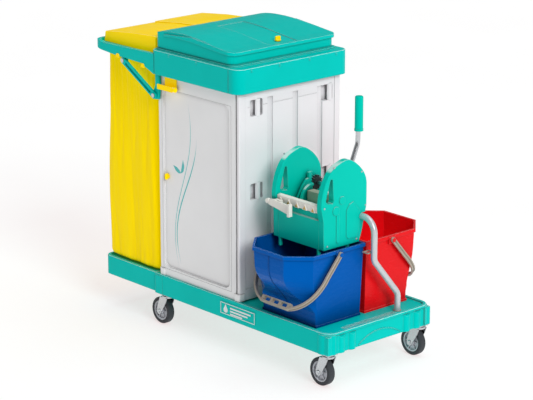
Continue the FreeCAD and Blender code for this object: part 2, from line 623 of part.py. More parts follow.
def strut_post(side):
    """The bracket that hangs from the tray and takes the strut's lower pin."""
    low, high = sorted((side * (TRAY_HALF - 9), side * (TRAY_HALF - 20)))
    outline = [(323, TRAY_Z1 - 5.5), (342, TRAY_Z1 - 5.5), (342, 892), (337, 855), (309, 852), (306, 868), (323, 904)]
    post = prism(outline, "y", low, high)
    return post.cut(rod("y", strut_ends()[1][0], strut_ends()[1][1], 4.0, low - 1, high + 1))


def strut_pins():
    pins = []
    for side in (-1, 1):
        for x, z in strut_ends():
            low, high = sorted((side * (TRAY_HALF - 20), side * (TRAY_HALF + 0.5)))
            pin = rod("y", x, z, 4.0, low, high)
            head_low, head_high = sorted((side * (TRAY_HALF + 0.5), side * (TRAY_HALF + 3)))
            pins.append(fused([pin, rod("y", x, z, 8.0, head_low, head_high)]))
    return group(pins)


def bag_clip(x, side, bottom):
    """A clip pushed up over the loop's lower edge: short outside, long inside, with a round nose."""
    out, face = TRAY_HALF + 3.0, TRAY_HALF + 0.1
    back, inside = TRAY_HALF - LOOP_WALL - 0.1, TRAY_HALF - LOOP_WALL - 2.5
    y_range = lambda a, b: sorted((side * a, side * b))
    foot = rounded_box(x - 10, x + 10, *y_range(inside, out), bottom, bottom + 4, 2.0)
    nose = rod("y", x, bottom + 6, 9.0, *y_range(face, out)).common(
        box(x - 10, x + 10, -400, 400, bottom, bottom + 20))
    leg = box(x - 8, x + 8, *y_range(inside, back), bottom, 1002)
    return fused([foot, nose, leg])


def bag_clips():
    return group([bag_clip(x, side, bottom) for side in (-1, 1) for x, bottom in ((124.0, 974.0), (266.0, 960.5))])


def tool_hook():
    """The broom-handle holder screwed to the locker's top corner."""
    low = DOOR_Z1 + 1.4
    plate = box(367, 429, -CAB_HALF - 4, -CAB_HALF - 0.1, low, 945)
    shelf_ = box(350, 429, -CAB_HALF - 26, -CAB_HALF - 0.1, low, low + 8)
    lip = box(350, 429, -CAB_HALF - 26, -CAB_HALF - 21, low, low + 18)
    tip = rod("x", -CAB_HALF - 17, low + 9, 9.0, 424, 441)
    return fused([plate, shelf_, lip, tip])


# ---- bag and bag covers -------------------------------------------------------------------
def bag():
    """An open-topped sack that hangs in the loop and stands on the platform."""
    top = [(17, -225), (289, -225), (289, 225), (17, 225)]
    bottom = [(4, -236), (320, -236), (320, 236), (4, 236)]
    wires = []
    for outline, z in ((bottom, RIM_Z + 1.0), (bottom, 420.0), (top, 930.0), (top, 999.0)):
        corners = [V(x, y, z) for x, y in outline]
        wires.append(Part.makePolygon(corners + corners[:1]))
    outer = Part.makeLoft(wires, True, True)
    inner_wires = []
    for outline, z in ((bottom, RIM_Z + 4.0), (bottom, 420.0), (top, 930.0), (top, 1001.0)):
        middle_x = sum(x for x, _ in outline) / 4
        corners = [V(x + math.copysign(3.0, middle_x - x), y + math.copysign(3.0, -y), z) for x, y in outline]
        inner_wires.append(Part.makePolygon(corners + corners[:1]))
    return outer.cut(Part.makeLoft(inner_wires, True, True))


def cover_ears():
    return (-120.0, 120.0)


def cover_half(side, lift):
    """One half of the bag's cover; side -1 is the door side. `lift` raises its roof."""
    near, far = (-COVER_HALF, -COVER_SPLIT) if side < 0 else (COVER_SPLIT, COVER_HALF)
    def form(t, z_low):
        outline = [(COVER_X0 + t, z_low), (COVER_X1 - t, z_low), (COVER_X1 - t, 1067 + lift - t),
                   (COVER_X1 - 7 - t, 1074 + lift - t), (160, 1066 + lift - t), (COVER_X0 + 6 + t, 1050 + lift - t)]
        return prism(outline, "y", near + t, far - t)
    shell = form(0.0, COVER_Z0)
    soft = lambda e: e.BoundBox.ZMin > 1040 and not is_vertical(e)
    shell = round_edges(shell, 2.5, soft).cut(form(3.0, COVER_Z0 - 1))
    y = side * 120.0
    x, z = COVER_AXIS
    lugs = [box(x - 8, x + 8, y + d - 2.5, y + d + 2.5, z - 7, 1073 + lift) for d in (-10, 10)]
    shell = fused([shell] + [lug.common(form(1.0, COVER_Z0)) for lug in lugs])
    shell = shell.cut(box(x - 8, COVER_X1 + 1, y - 5, y + 5, COVER_Z0 - 1, z + 7.5))
    shell = shell.cut(swing_relief(COVER_X1, x, COVER_Z0, 1.8, COVER_HALF + 1))
    return shell.cut(rod("y", x, z, 3.0 + FIT, *sorted((0.0, side * 150.0))))


# ---- buckets ------------------------------------------------------------------------------
def smooth(low, high, value):
    """0 below `low`, 1 above `high`, with a soft start and end."""
    t = min(max((value - low) / (high - low), 0.0), 1.0)
    return t * t * (3 - 2 * t)


def bucket_section(z):
    """The half section at a height: half width, inner end, where the side meets the corner
    facet, half width of the outer end's flat, and the outer end."""
    rise = (z - DECK_Z) / (BUCKET_RIM - DECK_Z)
    spread = smooth(228.0, 385.0, z)
    half = 134.0 + 11.0 * rise
    corner = (half - 4.0) * (1 - smooth(245.0, 322.0, z)) + (59.0 + 17.0 * rise) * smooth(245.0, 322.0, z)
    return half, 12.0 - 5.0 * rise, 213.0 + 5.0 * rise + 24.0 * spread, corner, 218.0 + 5.0 * rise + 91.0 * spread


def bucket_heights():
    return [DECK_Z, 228.0, 246.0, 262.0, 277.0, 292.0, 307.0, 322.0, 342.0, 362.0, 385.0, BUCKET_RIM - 9]


def bucket_outline(z, grow, at=None):
    half, inner, side, flat, outer = bucket_section(z)
    right = [(half + grow, inner - grow), (half + grow, side + grow * 0.4), (flat + grow * 0.4, outer + grow)]
    left = [(-x, v) for x, v in reversed(right)]
    corners = [V(BUCKET_X + x, v, z if at is None else at) for x, v in right + left]
    return Part.makePolygon(corners + corners[:1])


def bucket_form(grow, heights):
    return Part.makeLoft([bucket_outline(z, grow) for z in heights], True, True)


def bucket():
    """A pouring bucket with its outer end towards +y."""
    heights = bucket_heights()
    outer = bucket_form(0.0, heights)
    inner = bucket_form(-3.0, [DECK_Z + 4] + heights[1:] + [BUCKET_RIM + 5])
    top = heights[-1]
    lip = Part.makeLoft([bucket_outline(top, 5.0, BUCKET_RIM - LIP_H), bucket_outline(top, 5.0, BUCKET_RIM)], True, True)
    foot = box(BUCKET_X - 136, BUCKET_X + 136, 10, 219.5, DECK_Z, DECK_Z + 8)
    seam_side = [(bucket_section(z)[4], z) for z in heights if z > 225]
    seam = prism([(v - 1, z) for v, z in seam_side] + [(v + 1.8, z) for v, z in reversed(seam_side)],
                 "x", BUCKET_X - 1.5, BUCKET_X + 1.5)
    body = fused([outer, lip, foot, seam]).cut(inner)
    for side in (-1, 1):
        low, high = sorted((BUCKET_X + side * 142, BUCKET_X + side * 152))
        boss = box(low, high, BAIL_V - 15, BAIL_V + 15, BAIL_Z - 15, BUCKET_RIM - 5)
        pin = rod("x", BAIL_V, BAIL_Z, 5.0, *sorted((BUCKET_X + side * 145, BUCKET_X + side * 161)))
        head = rod("x", BAIL_V, BAIL_Z, 7.5, *sorted((BUCKET_X + side * 160.6, BUCKET_X + side * 163)))
        body = fused([body, boss, pin, head])
    return body.cut(inner)


def bail():
    """The carrying handle, resting down over the outer end: I-section arms, curves and a grip."""
    arm, thick = 8.0, 7.0
    reach = BAIL_LENGTH
    grip_half = 78.0
    outer = [V(-BAIL_HALF, 0, 0), V(-BAIL_HALF, 95, 0)]
    curve = Part.BSplineCurve()
    curve.interpolate([V(BAIL_HALF, 95, 0), V(BAIL_HALF - 4, 148, 0), V(BAIL_HALF - 25, 194, 0),
                       V(grip_half + 17, 228, 0), V(grip_half - 18, reach, 0)])
    left = [e.mirror(V(0, 0, 0), V(1, 0, 0)) for e in [curve.toShape()]]
    spine = Part.Wire([Part.makeLine(V(BAIL_HALF, 0, 0), V(BAIL_HALF, 95, 0)), curve.toShape(),
                       Part.makeLine(V(grip_half - 18, reach, 0), V(18 - grip_half, reach, 0))]
                      + left + [Part.makeLine(outer[1], outer[0])])
    start = V(BAIL_HALF, 0, 0)
    half, web, flange = thick / 2, 0.9, arm - 4.8
    quarter = [(half, -arm), (half, -flange), (web, -flange), (web, flange), (half, flange), (half, arm)]
    profile = quarter + [(-x, -z) for x, z in quarter]
    corners = [start + V(x, 0, z) for x, z in profile]
    section = Part.makePolygon(corners + corners[:1])
    band = spine.makePipeShell([section], True, False)
    grip = box(-grip_half + 8, grip_half - 8, reach - 22, reach + 2.5, -7, 7)
    grip = round_edges(grip, 3.0, lambda e: e.BoundBox.XLength > 40)
    for x in (-42.0, 0.0, 42.0):
        window = box(x - 17, x + 17, reach - 18, reach - 3.5, -9, 9)
        grip = grip.cut(round_edges(window, 3.0, lambda e: e.BoundBox.ZLength > 5 and e.BoundBox.XLength < 1))
    eyes = [rod("x", 0, 0, 9.0, *sorted((s * (BAIL_HALF - 3.5), s * (BAIL_HALF + 3.5)))) for s in (-1, 1)]
    body = fused([band, grip] + eyes)
    body = body.cut(rod("x", 0, 0, 5.0 + FIT, -BAIL_HALF - 5, BAIL_HALF + 5))
    body.rotate(V(0, 0, 0), V(1, 0, 0), math.degrees(BAIL_DROP) - 90)
    body.translate(V(BUCKET_X, BAIL_V, BAIL_Z))
    return body


# ---- wringer ------------------------------------------------------------------------------
def cheek_face(x):
    """The side view of a wringer cheek: a domed top on a straight-sided basket."""
    dome = [(-188, 600), (-185, 638), (-172, 680), (-153, 714), (-126, 738), (-95, 751), (-68, 756),
            (-38, 745), (-4, 718), (17, 690), (26, 655)]
    lower = [(26, 586), (14, 540), (3, 493), (-10, WRINGER_Z0), (-176, WRINGER_Z0), (-178, 556), (-188, 600)]
    curve = Part.BSplineCurve()
    curve.interpolate([V(x, y, z) for y, z in dome])
    rest = Part.makePolygon([V(x, y, z) for y, z in [dome[-1]] + lower])
    return Part.Face(Part.Wire([curve.toShape()] + rest.Edges))


def cheek(side):
    """One side of the wringer; side 1 faces the bucket end of the cart."""
    outside = BUCKET_X + side * WRINGER_HALF
    inside = BUCKET_X + side * (WRINGER_HALF - CHEEK_T)
    low, high = sorted((outside, inside))
    body = cheek_face(low).extrude(V(high - low, 0, 0))
    dome = lambda e: e.BoundBox.XLength < 1e-3 and e.BoundBox.ZMax > 750
    body = round_edges(body, 3.0, dome)
    slot = prism([(-146, 700), (-137, 700), (-131, 622), (-136, 614), (-162, 618), (-168, 628)], "x", low - 1, high + 1)
    slot = round_edges(slot, 4.0, lambda e: e.BoundBox.XLength > 10)
    body = fused([body.cut(slot)] + cheek_pads(outside, side))
    blind = sorted((inside - side * 1, outside - side * 4))
    bearing = rod("x", SHAFT_Y, SHAFT_Z, SHAFT_R + FIT, *blind)
    notch = slot_shape("x", 0, TUBE_TOP, 40, TUBE_TOP, TUBE_R + 0.2, low - 3, high + 4)
    body = body.cut(bearing).cut(notch)
    for rivet in cheek_rivets(side):
        body = body.cut(rivet)
    return body


def cheek_pads(outside, side):
    """Raised ribs moulded on a cheek's outer face."""
    low, high = sorted((outside - side * 1.0, outside + side * 2.6))
    stem = slot_shape("x", -112, 565, -112, 478, 7.0, low, high)
    key_head = rod("x", -120, 585, 16.0, low, high)
    small = rod("x", -92, 618, 14.0, low, high)
    panel = prism([(-72, 486), (-72, 578), (-58, 598), (-40, 604), (-2, 560), (-14, 500), (-22, 476), (-62, 476)],
                  "x", low, high)
    outer = lambda e: e.BoundBox.XLength < 1e-3 and abs(e.BoundBox.XMin - outside - side * 2.6) < 1e-3
    return [round_edges(pad, 1.2, outer) for pad in (fused([stem, key_head]), small, panel)]


def rivet_places():
    return [(-129, 738), (0, 702), (-174, 604), (20, 580), (-160, 468), (-22, 468)]


def cheek_rivets(side):
    outside = BUCKET_X + side * WRINGER_HALF
    low, high = sorted((outside - side * 2.5, outside + side * 1.0))
    return [rod("x", y, z, 3.2, low, high) for y, z in rivet_places()]


def wringer_front():
    """The basket's front wall with its folded step."""
    inner = WRINGER_HALF - CHEEK_T
    x0, x1 = BUCKET_X - inner + 0.1, BUCKET_X + inner - 0.1
    wall = prism([(-177, WRINGER_Z0), (-177, 556), (-170, 560), (-170, 584), (-166, 584), (-166, 558),
                  (-173, 554), (-173, WRINGER_Z0)], "x", x0, x1)
    return wall


def wringer_back():
    inner = WRINGER_HALF - CHEEK_T
    return box(BUCKET_X - inner + 0.1, BUCKET_X + inner - 0.1, -30, -26, WRINGER_Z0, 556)


def wringer_floor():
    """The perforated sole that a mop is pressed against."""
    inner = WRINGER_HALF - CHEEK_T
    x0, x1 = BUCKET_X - inner + 0.1, BUCKET_X + inner - 0.1
    sole = box(x0, x1, -173, -30, WRINGER_Z0, WRINGER_Z0 + 4)
    columns, rows = 9, 6
    for i in range(columns):
        for j in range(rows):
            x = x0 + (x1 - x0) * (i + 0.5) / columns
            y = -173 + 143 * (j + 0.5) / rows
            sole = sole.cut(rod("z", x, y, 5.5, WRINGER_Z0 - 1, WRINGER_Z0 + 5))
    return sole


def wringer_legs():
    """Tabs that drop inside the bucket's rim and keep the wringer in place."""
    legs = []
    for side in (-1, 1):
        for y in (-177, -42):
            low, high = sorted((BUCKET_X + side * (WRINGER_HALF - 26), BUCKET_X + side * (WRINGER_HALF - 33)))
            legs.append(box(low, high, y, y + 12, WRINGER_Z0 - 30, WRINGER_Z0 + 4))
    return legs


def comb_bar():
    """The toothed bar across the top of the basket's front."""
    inner = WRINGER_HALF - CHEEK_T
    x0, x1 = BUCKET_X - inner + 0.3, BUCKET_X + inner - 0.3
    bar = prism([(-182, 584.2), (-160, 584.2), (-160, 600), (-168, 611), (-182, 608)], "x", x0, x1)
    teeth = []
    count = 5
    for i in range(count):
        x = x0 + (x1 - x0) * (i + 0.5) / count
        teeth.append(prism([(x - 11, 584.2), (x + 11, 584.2), (x, 604)], "y", -187, -181))
    return fused([bar] + teeth)


def clamp_arm():
    """The white rest that reaches out in front of the basket."""
    x0 = BUCKET_X - 130
    arm = prism([(x0, 578), (x0 + 6, 592), (x0 + 36, 596), (x0 + 60, 592), (x0 + 118, 590), (x0 + 122, 556),
                 (x0 + 104, 558), (x0 + 60, 566), (x0 + 20, 572)], "y", -206, -199)
    end_pad = box(x0 + 112, x0 + 122, -214, -198, 552, 596)
    knob = rod("y", x0 + 6, 586, 8.0, -210, -198)
    foot = box(x0 + 34, x0 + 64, -200, -187.2, 584.5, 596)
    return fused([arm, end_pad, knob, foot])


def gear_outline(teeth, pitch_r, addendum, dedendum, slack):
    """Trapezoid-toothed pinion about the shaft, as (y, z) points."""
    points = []
    pitch = 2 * math.pi / teeth
    for i in range(teeth):
        middle = math.pi + pitch * i
        for radius, share in ((pitch_r - dedendum, 0.36), (pitch_r + addendum, 0.11)):
            points.append((radius, middle - pitch * share + slack))
        for radius, share in ((pitch_r + addendum, 0.11), (pitch_r - dedendum, 0.36)):
            points.append((radius, middle + pitch * share - slack))
    return [(SHAFT_Y + r * math.cos(a), SHAFT_Z + r * math.sin(a)) for r, a in points]


PINION_TEETH = 16
RACK_PITCH = 2 * math.pi * PINION_R / PINION_TEETH


def pinion_places():
    return (BUCKET_X - 93.5, BUCKET_X + 81.5)


def pinion(x):
    gear = prism(gear_outline(PINION_TEETH, PINION_R, 2.6, 3.2, 0.012), "x", x, x + 12)
    return gear.cut(rod("x", SHAFT_Y, SHAFT_Z, SHAFT_R, x - 1, x + 13))


def press_rack(x):
    """Toothed bar on the press plate, in mesh with its pinion's front side."""
    face_y = SHAFT_Y - PINION_R
    count = 9
    first = -4
    points = [(face_y - 14, SHAFT_Z + (first - 0.5) * RACK_PITCH)]
    for i in range(first, first + count):
        z = SHAFT_Z + (i + 0.5) * RACK_PITCH
        for dy, dz in ((-2.9, -0.33), (2.2, -0.10), (2.2, 0.10), (-2.9, 0.33)):
            points.append((face_y + dy, z + dz * RACK_PITCH))
    points.append((face_y - 14, SHAFT_Z + (first + count - 0.5) * RACK_PITCH))
    return prism(points, "x", x + 1, x + 11)


def press_plate():
    """The sliding plate that squeezes the mop, with webs for the racks and a curved guard at one end."""
    inner = WRINGER_HALF - CHEEK_T - 1.5
    rack_y = SHAFT_Y - PINION_R - 14
    z = SHAFT_Z - 4.5 * RACK_PITCH
    plate = box(BUCKET_X - inner, BUCKET_X + inner, -150, -41, z - 9, z)
    plate = round_edges(plate, 3.0, is_vertical)
    webs = []
    for x in pinion_places():
        web = prism([(-104, z - 1), (rack_y, z - 1), (rack_y, z + 66), (-60, z + 62), (-80, z + 40)], "x", x + 1, x + 11)
        webs.append(web)
    guard = ring("x", -58.0, z - 2.0, 58.0, 50.0, BLOCK_X[0] - 12, BLOCK_X[0] - 1)
    guard = guard.common(box(BLOCK_X[0] - 12, BLOCK_X[0], -120, -58, z - 1, z + 60))
    cheek_web = rod("x", -58.0, z - 2.0, 54.0, BLOCK_X[0] - 12, BLOCK_X[0] - 7)
    cheek_web = cheek_web.common(box(BLOCK_X[0] - 20, BLOCK_X[0], -120, -58, z - 1, z + 60))
    return fused([plate, guard, cheek_web] + webs)


def press_block():
    """The pale pad on the press plate, beside its curved guard."""
    z = SHAFT_Z - 4.5 * RACK_PITCH
    return box(BLOCK_X[0], BLOCK_X[1], -90, -60, z + 0.2, z + 36)


def lever_points():
    return [V(LEVER_X, SHAFT_Y, SHAFT_Z), V(LEVER_X, 6, 722), V(LEVER_X, 34, 786), V(LEVER_X, 38, 944)]


def lever_tube():
    points = lever_points()
    tube = swept_rod(points, (80.0, 60.0), 8.5)
    hub = rod("x", SHAFT_Y, SHAFT_Z, 17.0, LEVER_X - 11, LEVER_X + 11)
    return fused([tube, hub]).cut(rod("x", SHAFT_Y, SHAFT_Z, SHAFT_R, LEVER_X - 30, LEVER_X + 30))


def lever_grip():
    top = lever_points()[-1]
    bottom_z = 828.0
    grip = rod("z", top.x, top.y, 14.5, bottom_z, 950.0)
    grip = round_edges(grip, 5.0, lambda e: e.BoundBox.ZLength < 1e-3)
    collar = rod("z", top.x, top.y, 15.5, bottom_z, bottom_z + 8)
    return fused([grip, collar]).cut(lever_tube())


def cross_shaft():
    inner = WRINGER_HALF - CHEEK_T
    shaft = rod("x", SHAFT_Y, SHAFT_Z, SHAFT_R, BUCKET_X - WRINGER_HALF + 5, BUCKET_X + WRINGER_HALF - 5)
    collars = [rod("x", SHAFT_Y, SHAFT_Z, 12.0, *sorted((BUCKET_X + s * (inner - 0.5), BUCKET_X + s * (inner - 7))))
               for s in (-1, 1)]
    return fused([shaft] + collars)


# ---- support frame ------------------------------------------------------------------------
def support_points():
    far = 2 * BUCKET_X - TUBE_X
    return [V(TUBE_X, 118, DECK_Z), V(TUBE_X, 118, 256), V(TUBE_X, 0, 398), V(TUBE_X, 0, TUBE_TOP),
            V(far, 0, TUBE_TOP), V(far, 0, 398), V(far, 118, 256), V(far, 118, DECK_Z)]


def support_tube():
    return bent_tube(support_points(), (38, 38, 52, 52, 38, 38), TUBE_R, TUBE_R - 2)


def tube_sockets():
    rings = []
    for point in (support_points()[0], support_points()[-1]):
        rings.append(ring("z", point.x, point.y, TUBE_R + 3, TUBE_R, DECK_Z, DECK_Z + 3))
    return rings


def rim_bracket():
    """The wire loop that ties the blue bucket's corner to the support tube."""
    x0 = BUCKET_X + 152.5
    plate = box(x0, TUBE_X - TUBE_R + 2, -20, 10, 424, 428)
    plate = plate.cut(box(x0 + 4, TUBE_X - TUBE_R - 4, -16, 6, 420, 430))
    return plate.cut(rod("z", TUBE_X, 0, TUBE_R, 300, 480))


def main():
    os.makedirs("parts", exist_ok=True)
    save("base_main", base_main())
    save("bag_platform", bag_platform())
    save("label_plate", label_plate())
    places = caster_places()
    save("caster_plates", group([caster_plate(x, y) for x, y in places]))
    for number, (x, y) in enumerate(places, 1):
        save(f"caster_fork_{number}", caster_fork(x, y))
        save(f"wheel_disc_{number}", wheel_disc(x, y))
        save(f"tyre_{number}", tyre(x, y))
    save("corner_posts", group([corner_post(x, y) for x, y in corner_places()]))
    save("door_frame", door_frame())
    save("door", door())
    save("door_pins", door_pins())
    save("door_key", door_key())
    save("fluted_panel", fluted_panel())
    save("bag_side_panel", bag_side_panel())
    save("rear_panel", rear_panel())
    save("locker_floor", locker_board(RIM_Z + 28, 5.0))
    save("lower_shelf", shelf(SHELF_Z[0]))
    save("upper_shelf", shelf(SHELF_Z[1]))
    save("top_tray", top_tray())
    save("tray_lid", tray_lid())
    save("hinge_rods", group([hinge_rod(LID_AXIS, 170), hinge_rod(COVER_AXIS, 140)]))
    save("lid_lock", lid_lock())
    save("lid_keeper", lid_keeper())
    save("bag_loop", bag_loop())
    save("struts", group([strut(-1), strut(1)]))
    save("strut_posts", group([strut_post(-1), strut_post(1)]))
    save("strut_pins", strut_pins())
    save("bag_clips", bag_clips())
    save("tool_hook", tool_hook())
    save("bag", bag())
    save("cover_near", cover_half(-1, 0.0))
    save("cover_far", cover_half(1, 4.0))
    red = bucket()
    save("red_bucket", red)
    save("blue_bucket", mirror_y(red))
    red_bail = bail()
    save("red_bail", red_bail)
    save("blue_bail", mirror_y(red_bail))
    save("wringer_cheek_near", cheek(1))
    save("wringer_cheek_far", cheek(-1))
    save("wringer_rivets", group(cheek_rivets(1) + cheek_rivets(-1)))
    save("wringer_basket", fused([wringer_front(), wringer_back(), wringer_floor()] + wringer_legs()))
    save("comb_bar", comb_bar())
    save("clamp_arm", clamp_arm())
    save("cross_shaft", cross_shaft())
    save("pinions", group([pinion(x) for x in pinion_places()]))
    save("press_plate", press_plate())
    save("press_racks", group([press_rack(x) for x in pinion_places()]))
    save("press_block", press_block())
    save("lever_tube", lever_tube())
    save("lever_grip", lever_grip())
    save("support_tube", support_tube())
    save("tube_brackets", group(tube_sockets() + [rim_bracket()]))


main()
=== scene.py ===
"""The cart's looks: procedural materials on the CAD frame, the sack with its folds, the
door's printed motif, the skirt's label, the comb's brass pips, the floor, the lights and the
camera."""
import bpy
import bmesh
import json
import math
import numpy as np
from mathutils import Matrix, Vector, noise


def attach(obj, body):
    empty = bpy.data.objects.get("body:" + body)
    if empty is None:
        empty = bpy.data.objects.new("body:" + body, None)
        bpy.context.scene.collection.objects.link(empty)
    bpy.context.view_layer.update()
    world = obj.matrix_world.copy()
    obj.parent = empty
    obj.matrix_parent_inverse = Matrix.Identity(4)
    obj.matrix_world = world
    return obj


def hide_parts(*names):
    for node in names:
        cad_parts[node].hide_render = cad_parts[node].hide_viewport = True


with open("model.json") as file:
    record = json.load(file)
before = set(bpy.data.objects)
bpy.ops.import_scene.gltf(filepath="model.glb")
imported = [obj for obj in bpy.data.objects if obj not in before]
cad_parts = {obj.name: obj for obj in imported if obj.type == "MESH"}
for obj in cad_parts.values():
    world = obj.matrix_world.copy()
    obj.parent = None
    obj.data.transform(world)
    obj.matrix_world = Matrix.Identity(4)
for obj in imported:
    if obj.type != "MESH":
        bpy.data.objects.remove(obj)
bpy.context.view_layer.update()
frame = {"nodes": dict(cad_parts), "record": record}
NODES = frame["nodes"]
MIDDLE_X = 0.597          # the frame's x is the cart's x less this, in metres


def srgb(r, g, b):
    """A colour given as 0 to 255 on screen, as the linear values that shaders use."""
    def one(v):
        v /= 255.0
        return v / 12.92 if v <= 0.04045 else ((v + 0.055) / 1.055) ** 2.4
    return (one(r), one(g), one(b), 1.0)


def at(x, y, z):
    """A point given in the cart's own millimetres (x from the sack end)."""
    return Vector((x / 1000 - MIDDLE_X, y / 1000, z / 1000))


# ---- materials ----------------------------------------------------------------------------
class Graph:
    """A material's node tree, with short ways to add and join nodes."""

    def __init__(self, name):
        self.mat = bpy.data.materials.new(name)
        self.mat.use_nodes = True
        self.tree = self.mat.node_tree
        self.shader = self.tree.nodes["Principled BSDF"]
        self.coord = self.add("ShaderNodeTexCoord").outputs["Object"]

    def add(self, kind, **values):
        node = self.tree.nodes.new(kind)
        for key, value in values.items():
            setattr(node, key, value)
        return node

    def join(self, out, into):
        self.tree.links.new(out, into)

    def noise(self, scale, detail=3.0, stretch=None, roughness=0.55):
        vector = self.coord
        if stretch is not None:
            mapping = self.add("ShaderNodeMapping")
            mapping.inputs["Scale"].default_value = stretch
            self.join(vector, mapping.inputs["Vector"])
            vector = mapping.outputs["Vector"]
        node = self.add("ShaderNodeTexNoise")
        node.inputs["Scale"].default_value = scale
        node.inputs["Detail"].default_value = detail
        node.inputs["Roughness"].default_value = roughness
        self.join(vector, node.inputs["Vector"])
        return node.outputs["Fac"]

    def ramp(self, value, stops):
        node = self.add("ShaderNodeValToRGB")
        elements = node.color_ramp.elements
        while len(elements) < len(stops):
            elements.new(0.5)
        for element, (place, colour) in zip(elements, stops):
            element.position = place
            element.color = colour
        self.join(value, node.inputs["Fac"])
        return node.outputs["Color"]

    def span(self, value, low, high, from_low=0.3, from_high=0.7):
        node = self.add("ShaderNodeMapRange")
        node.inputs["From Min"].default_value = from_low
        node.inputs["From Max"].default_value = from_high
        node.inputs["To Min"].default_value = low
        node.inputs["To Max"].default_value = high
        self.join(value, node.inputs["Value"])
        return node.outputs["Result"]

    def math(self, kind, a, b):
        node = self.add("ShaderNodeMath", operation=kind)
        for value, socket in ((a, node.inputs[0]), (b, node.inputs[1])):
            if isinstance(value, (int, float)):
                socket.default_value = value
            else:
                self.join(value, socket)
        return node.outputs[0]

    def mix(self, share, a, b):
        node = self.add("ShaderNodeMix", data_type="RGBA")
        for value, socket in ((share, node.inputs[0]), (a, node.inputs[6]), (b, node.inputs[7])):
            if isinstance(value, (int, float, tuple)):
                socket.default_value = value
            else:
                self.join(value, socket)
        return node.outputs[2]

    def worn_edges(self, radius):
        """How near a point is to a sharp edge, and the normal of that edge rounded off."""
        bevel = self.add("ShaderNodeBevel", samples=4)
        bevel.inputs["Radius"].default_value = radius
        geometry = self.add("ShaderNodeNewGeometry")
        dot = self.add("ShaderNodeVectorMath", operation="DOT_PRODUCT")
        self.join(bevel.outputs[0], dot.inputs[0])
        self.join(geometry.outputs["Normal"], dot.inputs[1])
        near = self.math("SUBTRACT", 1.0, dot.outputs["Value"])
        return self.span(near, 0.0, 1.0, 0.01, 0.22), bevel.outputs[0]

    def turning_up(self, normal):
        """1 where a surface turns over from a side to a top, 0 on the sides and the tops."""
        split = self.add("ShaderNodeSeparateXYZ")
        self.join(normal, split.inputs[0])
        off_side = self.span(split.outputs["Z"], 0.0, 1.0, 0.69, 0.76)
        off_top = self.span(split.outputs["Z"], 1.0, 0.0, 0.93, 0.97)
        return self.math("MULTIPLY", off_side, off_top)

    def shut_in(self, distance, low, high):
        """How shut-in a point is: 0 in the open, 1 deep in a corner or a groove; it places painted
        shade.
        """
        node = self.add("ShaderNodeAmbientOcclusion", samples=8)
        node.inputs["Distance"].default_value = distance
        return self.span(node.outputs["AO"], 1.0, 0.0, low, high)

    def bump(self, height, strength, distance, normal=None):
        node = self.add("ShaderNodeBump")
        node.inputs["Strength"].default_value = strength
        node.inputs["Distance"].default_value = distance
        self.join(height, node.inputs["Height"])
        if normal is not None:
            self.join(normal, node.inputs["Normal"])
        return node.outputs["Normal"]

    def done(self, colour=None, rough=None, normal=None, **sockets):
        for value, name in ((colour, "Base Color"), (rough, "Roughness"), (normal, "Normal")):
            if value is not None:
                self.join(value, self.shader.inputs[name])
        for name, value in sockets.items():
            self.shader.inputs[name.replace("_", " ")].default_value = value
        return self.mat


def shade(colour, factor):
    return tuple(min(1.0, c * factor) for c in colour[:3]) + (1.0,)


def blended(a, b, share):
    return tuple(x + (y - x) * share for x, y in zip(a[:3], b[:3])) + (1.0,)


WHITE = (1.0, 1.0, 1.0, 1.0)


def plastic(name, colour, rough, grain=0.10, grain_size=1.1, wear=0.30, edge=0.0014, gloss=0.10,
            dirt=0.06, painted_highlight=0.0, painted_shade=(0.014, 0.45), glow=0.0):
    """Moulded plastic: fine grain, clouding and scuffs, paler rubbed edges, and painted shade
    in corners.

    `painted_highlight` is a painted highlight, a light line along the open upper edges;
    `painted_shade` is the reach and depth of the painted shade in corners and grooves; `glow` is
    painted light, an emission that lifts a colour that light and shade alone leave too dull."""
    g = Graph(name)
    cloud = g.noise(4.0, 5.0)
    base = g.ramp(cloud, [(0.30, shade(colour, 1.0 - dirt)), (0.55, colour),
                          (0.75, shade(colour, 1.03))])
    near, rounded = g.worn_edges(edge)
    patches = g.span(g.noise(55.0, 4.0), 0.35, 1.0)
    rubbed = g.math("MULTIPLY", g.math("MULTIPLY", near, patches), wear)
    base = g.mix(rubbed, base, blended(colour, WHITE, 0.62))
    # painted shade: the colour darkens where the AO node finds the surface shut in
    corner = g.shut_in(painted_shade[0], 0.25, 0.92)
    base = g.mix(g.math("MULTIPLY", corner, painted_shade[1]), base, shade(colour, 0.12))
    # painted highlight: a near-white line where a side turns over into a top
    if painted_highlight > 0:
        line = g.math("MULTIPLY", g.turning_up(rounded), g.math("SUBTRACT", 1.0, corner))
        base = g.mix(g.math("MULTIPLY", line, painted_highlight), base, blended(colour, WHITE, 0.85))
    streaks = g.noise(26.0, 6.0, stretch=(1.0, 1.0, 3.0), roughness=0.7)
    scuffs = g.span(streaks, rough - 0.05, rough + 0.10)
    fine = g.noise(1000.0 / grain_size, 2.0)
    wavy = g.noise(9.0, 2.0)
    normal = g.bump(wavy, 0.10, 0.004, g.bump(fine, grain, 0.0004, rounded))
    sockets = {"Specular_IOR_Level": gloss, "Specular_Tint": blended(colour, WHITE, 0.12)}
    # painted light: the emission lifts the colour
    if glow > 0:
        sockets.update(Emission_Color=colour, Emission_Strength=glow)
    return g.done(base, scuffs, normal, **sockets)


